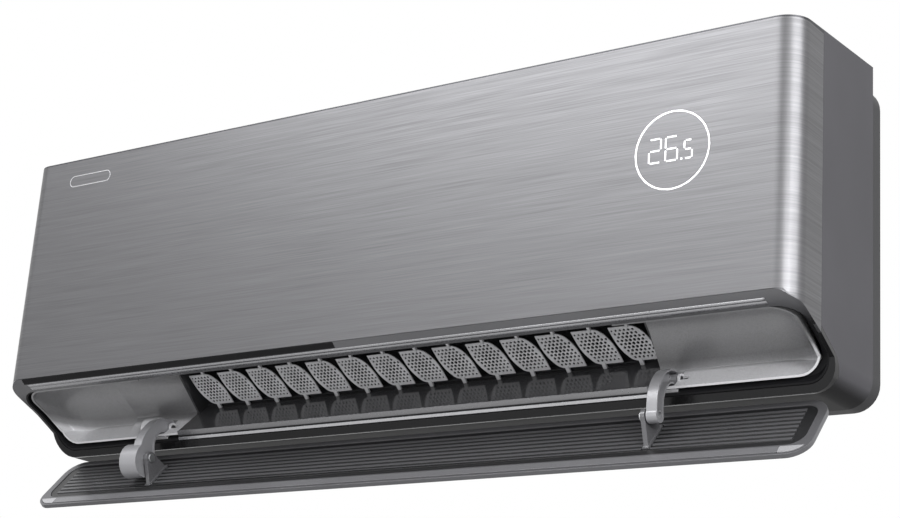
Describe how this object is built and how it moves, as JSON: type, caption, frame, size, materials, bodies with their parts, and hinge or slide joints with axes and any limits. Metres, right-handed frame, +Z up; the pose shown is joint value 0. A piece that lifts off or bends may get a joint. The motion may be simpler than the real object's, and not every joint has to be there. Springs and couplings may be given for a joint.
{
  "type": "mini split indoor unit",
  "caption": "Wall-hung air conditioner indoor unit with brushed front, turning vanes, swing-out louver on arms, fan, coil and lift-out filters.",
  "frame": {"origin": "middle of the mounting plate's back face, on the wall", "axes": "+X along the unit towards its right end seen from the front, +Y into the wall, +Z up"},
  "size_m": [1, 0.1915, 0.4115],
  "materials": {
    "brushed_panel": "satin metallic grey with horizontal brushed streaks",
    "louver_shell": "satin metallic grey",
    "side_cover": "fine satin grey moulding",
    "satin_grey": "satin painted grey",
    "vane_plastic": "satin light grey",
    "dark_gloss": "glossy near black",
    "dark_plastic": "semi-matte charcoal",
    "white_light": "white light guide",
    "bright_trim": "bright plated line",
    "zinc_steel": "galvanised sheet",
    "aluminium_fins": "fine vertical fins",
    "black_plastic": "moulded black plastic",
    "circuit_board": "coated board",
    "filter_net": "fine dark net in a frame"
  },
  "bodies": {
    "unit": {"front_panel": "brushed_panel", "front_casing": "side_cover", "outlet_rim": "satin_grey", "right_end_tray": "satin_grey", "left_end_tray": "satin_grey", "window_strip": "dark_gloss", "outlet_duct": "dark_gloss", "badge_plate": "dark_plastic", "display_ring": "white_light", "lower_lip_trim": "bright_trim", "arm_pin_right": "zinc_steel", "arm_motor_left": "zinc_steel", "vane_motor": "zinc_steel", "mounting_plate": "zinc_steel", "fan_motor": "zinc_steel", "coil_plate_right": "zinc_steel", "coil_plate_left": "zinc_steel", "evaporator_front_lower": "aluminium_fins", "evaporator_front_upper": "aluminium_fins", "evaporator_rear": "aluminium_fins", "outlet_channel": "black_plastic", "rear_chassis": "black_plastic", "fan_motor_clamp": "black_plastic", "fan_bearing": "black_plastic", "drain_pan": "black_plastic", "control_box": "black_plastic", "control_box_lid": "black_plastic", "display_board": "black_plastic", "inlet_grille": "black_plastic", "control_board": "circuit_board"},
    "arm_left": {"louver_arm_left": "satin_grey", "louver_tilt_motor": "zinc_steel"},
    "arm_right": {"louver_arm_right": "satin_grey"},
    "louver": {"louver_panel": "louver_shell", "louver_insert": "dark_plastic", "louver_bracket_right": "satin_grey", "louver_bracket_left": "satin_grey", "louver_pin_right": "zinc_steel", "louver_pin_left": "zinc_steel", "louver_front_strip": "satin_grey", "louver_cap_right": "satin_grey", "louver_cap_left": "satin_grey"},
    "vane_01": {"vane_01": "vane_plastic"},
    "vane_02": {"vane_02": "vane_plastic"},
    "vane_03": {"vane_03": "vane_plastic"},
    "vane_04": {"vane_04": "vane_plastic"},
    "vane_05": {"vane_05": "vane_plastic"},
    "vane_06": {"vane_06": "vane_plastic"},
    "vane_07": {"vane_07": "vane_plastic"},
    "vane_08": {"vane_08": "vane_plastic"},
    "vane_09": {"vane_09": "vane_plastic"},
    "vane_10": {"vane_10": "vane_plastic"},
    "vane_11": {"vane_11": "vane_plastic"},
    "vane_12": {"vane_12": "vane_plastic"},
    "vane_13": {"vane_13": "vane_plastic"},
    "vane_14": {"vane_14": "vane_plastic"},
    "vane_link": {"vane_link": "black_plastic"},
    "fan": {"crossflow_fan": "dark_plastic"},
    "filter_left": {"filter_left": "filter_net"},
    "filter_right": {"filter_right": "filter_net"}
  },
  "joints": [
    {"name": "arm_left_swing", "type": "hinge", "parent": "unit", "child": "arm_left", "pos_m": [-0.33325, -0.08717, -0.15379], "axis": [1, 0, 0], "range_deg": [-91.19, 0]},
    {"name": "arm_right_swing", "type": "hinge", "parent": "unit", "child": "arm_right", "pos_m": [0.32525, -0.08717, -0.15379], "axis": [1, 0, 0], "range_deg": [-91.19, 0]},
    {"name": "louver_tilt", "type": "hinge", "parent": "arm_left", "child": "louver", "pos_m": [-0.33325, -0.12089, -0.19635], "axis": [1, 0, 0], "range_deg": [0, 17.42]},
    {"name": "vane_01_turn", "type": "hinge", "parent": "unit", "child": "vane_01", "pos_m": [-0.2769, -0.0624, -0.128], "axis": [0, -0.749, 0.6626], "range_deg": [0, 110]},
    {"name": "vane_02_turn", "type": "hinge", "parent": "unit", "child": "vane_02", "pos_m": [-0.2343, -0.0624, -0.128], "axis": [0, -0.749, 0.6626], "range_deg": [0, 110]},
    {"name": "vane_03_turn", "type": "hinge", "parent": "unit", "child": "vane_03", "pos_m": [-0.1917, -0.0624, -0.128], "axis": [0, -0.749, 0.6626], "range_deg": [0, 110]},
    {"name": "vane_04_turn", "type": "hinge", "parent": "unit", "child": "vane_04", "pos_m": [-0.1491, -0.0624, -0.128], "axis": [0, -0.749, 0.6626], "range_deg": [0, 110]},
    {"name": "vane_05_turn", "type": "hinge", "parent": "unit", "child": "vane_05", "pos_m": [-0.1065, -0.0624, -0.128], "axis": [0, -0.749, 0.6626], "range_deg": [0, 110]},
    {"name": "vane_06_turn", "type": "hinge", "parent": "unit", "child": "vane_06", "pos_m": [-0.0639, -0.0624, -0.128], "axis": [0, -0.749, 0.6626], "range_deg": [0, 110]},
    {"name": "vane_07_turn", "type": "hinge", "parent": "unit", "child": "vane_07", "pos_m": [-0.0213, -0.0624, -0.128], "axis": [0, -0.749, 0.6626], "range_deg": [0, 110]},
    {"name": "vane_08_turn", "type": "hinge", "parent": "unit", "child": "vane_08", "pos_m": [0.0213, -0.0624, -0.128], "axis": [0, -0.749, 0.6626], "range_deg": [0, 110]},
    {"name": "vane_09_turn", "type": "hinge", "parent": "unit", "child": "vane_09", "pos_m": [0.0639, -0.0624, -0.128], "axis": [0, -0.749, 0.6626], "range_deg": [0, 110]},
    {"name": "vane_10_turn", "type": "hinge", "parent": "unit", "child": "vane_10", "pos_m": [0.1065, -0.0624, -0.128], "axis": [0, -0.749, 0.6626], "range_deg": [0, 110]},
    {"name": "vane_11_turn", "type": "hinge", "parent": "unit", "child": "vane_11", "pos_m": [0.1491, -0.0624, -0.128], "axis": [0, -0.749, 0.6626], "range_deg": [0, 110]},
    {"name": "vane_12_turn", "type": "hinge", "parent": "unit", "child": "vane_12", "pos_m": [0.1917, -0.0624, -0.128], "axis": [0, -0.749, 0.6626], "range_deg": [0, 110]},
    {"name": "vane_13_turn", "type": "hinge", "parent": "unit", "child": "vane_13", "pos_m": [0.2343, -0.0624, -0.128], "axis": [0, -0.749, 0.6626], "range_deg": [0, 110]},
    {"name": "vane_14_turn", "type": "hinge", "parent": "unit", "child": "vane_14", "pos_m": [0.2769, -0.0624, -0.128], "axis": [0, -0.749, 0.6626], "range_deg": [0, 110]},
    {"name": "vane_link_pivot", "type": "hinge", "parent": "vane_01", "child": "vane_link", "pos_m": [-0.26953, -0.06048, -0.12281], "axis": [0, -0.749, 0.6626], "range_deg": [-110, 0]},
    {"name": "fan_spin", "type": "hinge", "parent": "unit", "child": "fan", "pos_m": [0, -0.085, -0.032], "axis": [1, 0, 0], "continuous": true},
    {"name": "filter_left_lift", "type": "slide", "parent": "unit", "child": "filter_left", "axis": [0, 0, 1], "range_m": [0, 0.05]},
    {"name": "filter_right_lift", "type": "slide", "parent": "unit", "child": "filter_right", "axis": [0, 0, 1], "range_m": [0, 0.05]}
  ],
  "couplings": [
    {"joint": "arm_right_swing", "follows": "arm_left_swing", "ratio": 1},
    {"joint": "louver_tilt", "follows": "arm_left_swing", "ratio": -0.19101},
    {"joint": "vane_02_turn", "follows": "vane_01_turn", "ratio": 1},
    {"joint": "vane_03_turn", "follows": "vane_01_turn", "ratio": 1},
    {"joint": "vane_04_turn", "follows": "vane_01_turn", "ratio": 1},
    {"joint": "vane_05_turn", "follows": "vane_01_turn", "ratio": 1},
    {"joint": "vane_06_turn", "follows": "vane_01_turn", "ratio": 1},
    {"joint": "vane_07_turn", "follows": "vane_01_turn", "ratio": 1},
    {"joint": "vane_08_turn", "follows": "vane_01_turn", "ratio": 1},
    {"joint": "vane_09_turn", "follows": "vane_01_turn", "ratio": 1},
    {"joint": "vane_10_turn", "follows": "vane_01_turn", "ratio": 1},
    {"joint": "vane_11_turn", "follows": "vane_01_turn", "ratio": 1},
    {"joint": "vane_12_turn", "follows": "vane_01_turn", "ratio": 1},
    {"joint": "vane_13_turn", "follows": "vane_01_turn", "ratio": 1},
    {"joint": "vane_14_turn", "follows": "vane_01_turn", "ratio": 1},
    {"joint": "vane_link_pivot", "follows": "vane_01_turn", "ratio": -1}
  ]
}
